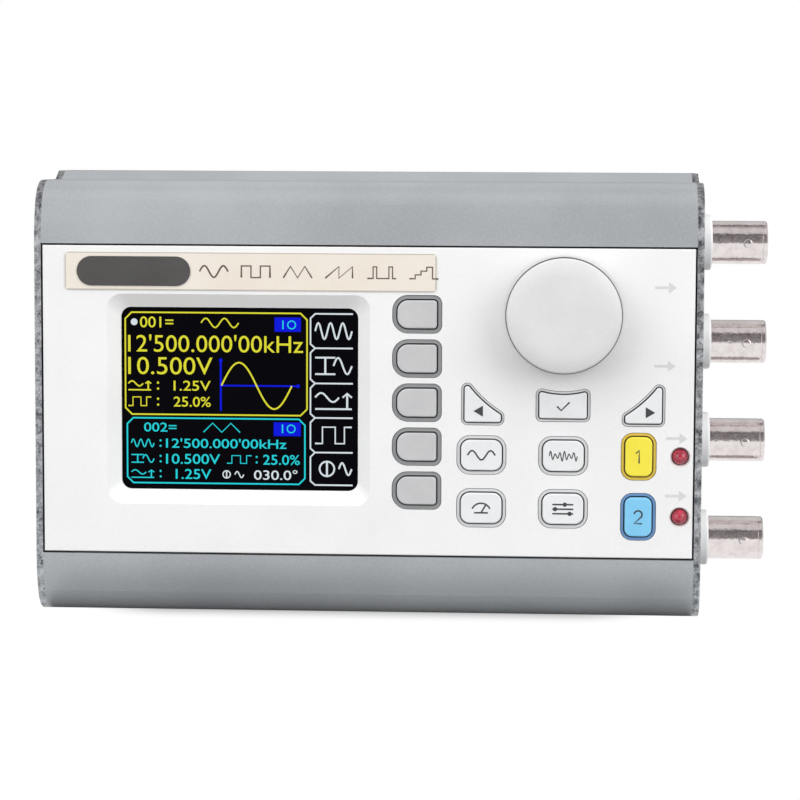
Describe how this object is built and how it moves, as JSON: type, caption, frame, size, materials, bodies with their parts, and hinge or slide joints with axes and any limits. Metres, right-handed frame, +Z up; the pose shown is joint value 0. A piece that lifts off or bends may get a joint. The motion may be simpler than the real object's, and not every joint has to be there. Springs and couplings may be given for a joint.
{
  "type": "function generator",
  "caption": "Compact bench function generator in an aluminium case, with a colour screen, soft keys, a rotary knob and BNC outputs at one end.",
  "frame": {"origin": "bottom centre of the whole object, in the plane that the feet rest on", "axes": "+X along the case towards the BNC jacks, -Y out of the front panel, +Z up"},
  "size_m": [0.1632, 0.055, 0.0981],
  "materials": {
    "case_aluminium": "bead-blasted and clear anodised extrusion",
    "plate_aluminium": "bead-blasted cut plate",
    "panel_abs": "finely textured moulding",
    "screen_glass": "dark display glass",
    "tray_steel": "bent sheet",
    "white_plastic": "moulded",
    "flex_film": "polyimide film",
    "label_cream": "printed film",
    "label_dark": "printed film",
    "key_grey": "moulded",
    "key_white": "moulded",
    "key_yellow": "moulded",
    "key_blue": "moulded",
    "switch_black": "moulded",
    "knob_plastic": "satin moulding",
    "shaft_steel": "turned",
    "nut_nickel": "nickel plated",
    "encoder_zinc": "die-cast",
    "lamp_red": "tinted clear resin",
    "board_green": "solder mask on glass-fibre laminate",
    "screw_steel": "zinc plated",
    "chip_black": "moulded epoxy",
    "relay_white": "moulded",
    "can_aluminium": "drawn can",
    "shield_tin": "tinned sheet",
    "ribbon_grey": "flat cable",
    "socket_cream": "moulded",
    "jack_white": "moulded",
    "jack_nickel": "nickel plated",
    "ptfe_white": "turned",
    "contact_gold": "gold flashed",
    "connector_black": "moulded",
    "connector_steel": "formed sheet",
    "rocker_black": "moulded",
    "foot_rubber": "moulded"
  },
  "bodies": {
    "case": {"amplifier_chips": "chip_black", "bnc_contacts": "contact_gold", "bnc_housings": "jack_white", "bnc_insulators": "ptfe_white", "bnc_shell_1": "jack_nickel", "bnc_shell_2": "jack_nickel", "bnc_shell_3": "jack_nickel", "bnc_shell_4": "jack_nickel", "board_ribbon": "ribbon_grey", "channel_1_lamp": "lamp_red", "channel_2_lamp": "lamp_red", "dc_jack": "connector_black", "dc_jack_pin": "contact_gold", "encoder_body": "encoder_zinc", "encoder_bushing": "encoder_zinc", "encoder_nut": "nut_nickel", "end_plate_screws": "screw_steel", "feet": "foot_rubber", "front_board": "board_green", "front_board_screws": "screw_steel", "front_panel": "panel_abs", "header_pins": "contact_gold", "key_switches": "switch_black", "lcd_flex": "flex_film", "lcd_frame": "tray_steel", "lcd_glass": "screen_glass", "lcd_spacer": "white_plastic", "left_end_plate": "plate_aluminium", "logic_header": "connector_black", "lower_shell": "case_aluminium", "main_board": "board_green", "name_badge": "label_dark", "name_strip": "label_cream", "power_switch_body": "rocker_black", "processor_chip": "chip_black", "ribbon_sockets": "socket_cream", "right_end_plate": "plate_aluminium", "shield_can": "shield_tin", "signal_relays": "relay_white", "smoothing_capacitors": "can_aluminium", "upper_shell": "case_aluminium", "usb_socket": "connector_steel", "usb_tongue": "white_plastic"},
    "soft_key_1": {"soft_key_1": "key_grey"},
    "soft_key_2": {"soft_key_2": "key_grey"},
    "soft_key_3": {"soft_key_3": "key_grey"},
    "soft_key_4": {"soft_key_4": "key_grey"},
    "soft_key_5": {"soft_key_5": "key_grey"},
    "left_key": {"left_key": "key_white"},
    "ok_key": {"ok_key": "key_white"},
    "right_key": {"right_key": "key_white"},
    "wave_key": {"wave_key": "key_white"},
    "modulation_key": {"modulation_key": "key_white"},
    "meter_key": {"meter_key": "key_white"},
    "system_key": {"system_key": "key_white"},
    "channel_1_key": {"channel_1_key": "key_yellow"},
    "channel_2_key": {"channel_2_key": "key_blue"},
    "knob": {"knob": "knob_plastic", "encoder_shaft": "shaft_steel"},
    "power_rocker": {"power_rocker": "rocker_black"}
  },
  "joints": [
    {"name": "soft_key_1_press", "type": "slide", "parent": "case", "child": "soft_key_1", "axis": [0, 1, 0], "range_m": [0, 0.0004], "stiffness_N_per_m": 800},
    {"name": "soft_key_2_press", "type": "slide", "parent": "case", "child": "soft_key_2", "axis": [0, 1, 0], "range_m": [0, 0.0004], "stiffness_N_per_m": 800},
    {"name": "soft_key_3_press", "type": "slide", "parent": "case", "child": "soft_key_3", "axis": [0, 1, 0], "range_m": [0, 0.0004], "stiffness_N_per_m": 800},
    {"name": "soft_key_4_press", "type": "slide", "parent": "case", "child": "soft_key_4", "axis": [0, 1, 0], "range_m": [0, 0.0004], "stiffness_N_per_m": 800},
    {"name": "soft_key_5_press", "type": "slide", "parent": "case", "child": "soft_key_5", "axis": [0, 1, 0], "range_m": [0, 0.0004], "stiffness_N_per_m": 800},
    {"name": "left_key_press", "type": "slide", "parent": "case", "child": "left_key", "axis": [0, 1, 0], "range_m": [0, 0.0004], "stiffness_N_per_m": 800},
    {"name": "ok_key_press", "type": "slide", "parent": "case", "child": "ok_key", "axis": [0, 1, 0], "range_m": [0, 0.0004], "stiffness_N_per_m": 800},
    {"name": "right_key_press", "type": "slide", "parent": "case", "child": "right_key", "axis": [0, 1, 0], "range_m": [0, 0.0004], "stiffness_N_per_m": 800},
    {"name": "wave_key_press", "type": "slide", "parent": "case", "child": "wave_key", "axis": [0, 1, 0], "range_m": [0, 0.0004], "stiffness_N_per_m": 800},
    {"name": "modulation_key_press", "type": "slide", "parent": "case", "child": "modulation_key", "axis": [0, 1, 0], "range_m": [0, 0.0004], "stiffness_N_per_m": 800},
    {"name": "meter_key_press", "type": "slide", "parent": "case", "child": "meter_key", "axis": [0, 1, 0], "range_m": [0, 0.0004], "stiffness_N_per_m": 800},
    {"name": "system_key_press", "type": "slide", "parent": "case", "child": "system_key", "axis": [0, 1, 0], "range_m": [0, 0.0004], "stiffness_N_per_m": 800},
    {"name": "channel_1_key_press", "type": "slide", "parent": "case", "child": "channel_1_key", "axis": [0, 1, 0], "range_m": [0, 0.0004], "stiffness_N_per_m": 800},
    {"name": "channel_2_key_press", "type": "slide", "parent": "case", "child": "channel_2_key", "axis": [0, 1, 0], "range_m": [0, 0.0004], "stiffness_N_per_m": 800},
    {"name": "knob_turn", "type": "hinge", "parent": "case", "child": "knob", "pos_m": [0.03639, -0.0185, 0.06815], "axis": [0, 1, 0], "continuous": true},
    {"name": "power_rocker_tip", "type": "hinge", "parent": "case", "child": "power_rocker", "pos_m": [-0.0776, 0.0035, 0.0197], "axis": [0, 1, 0], "range_deg": [0, 20]}
  ]
}
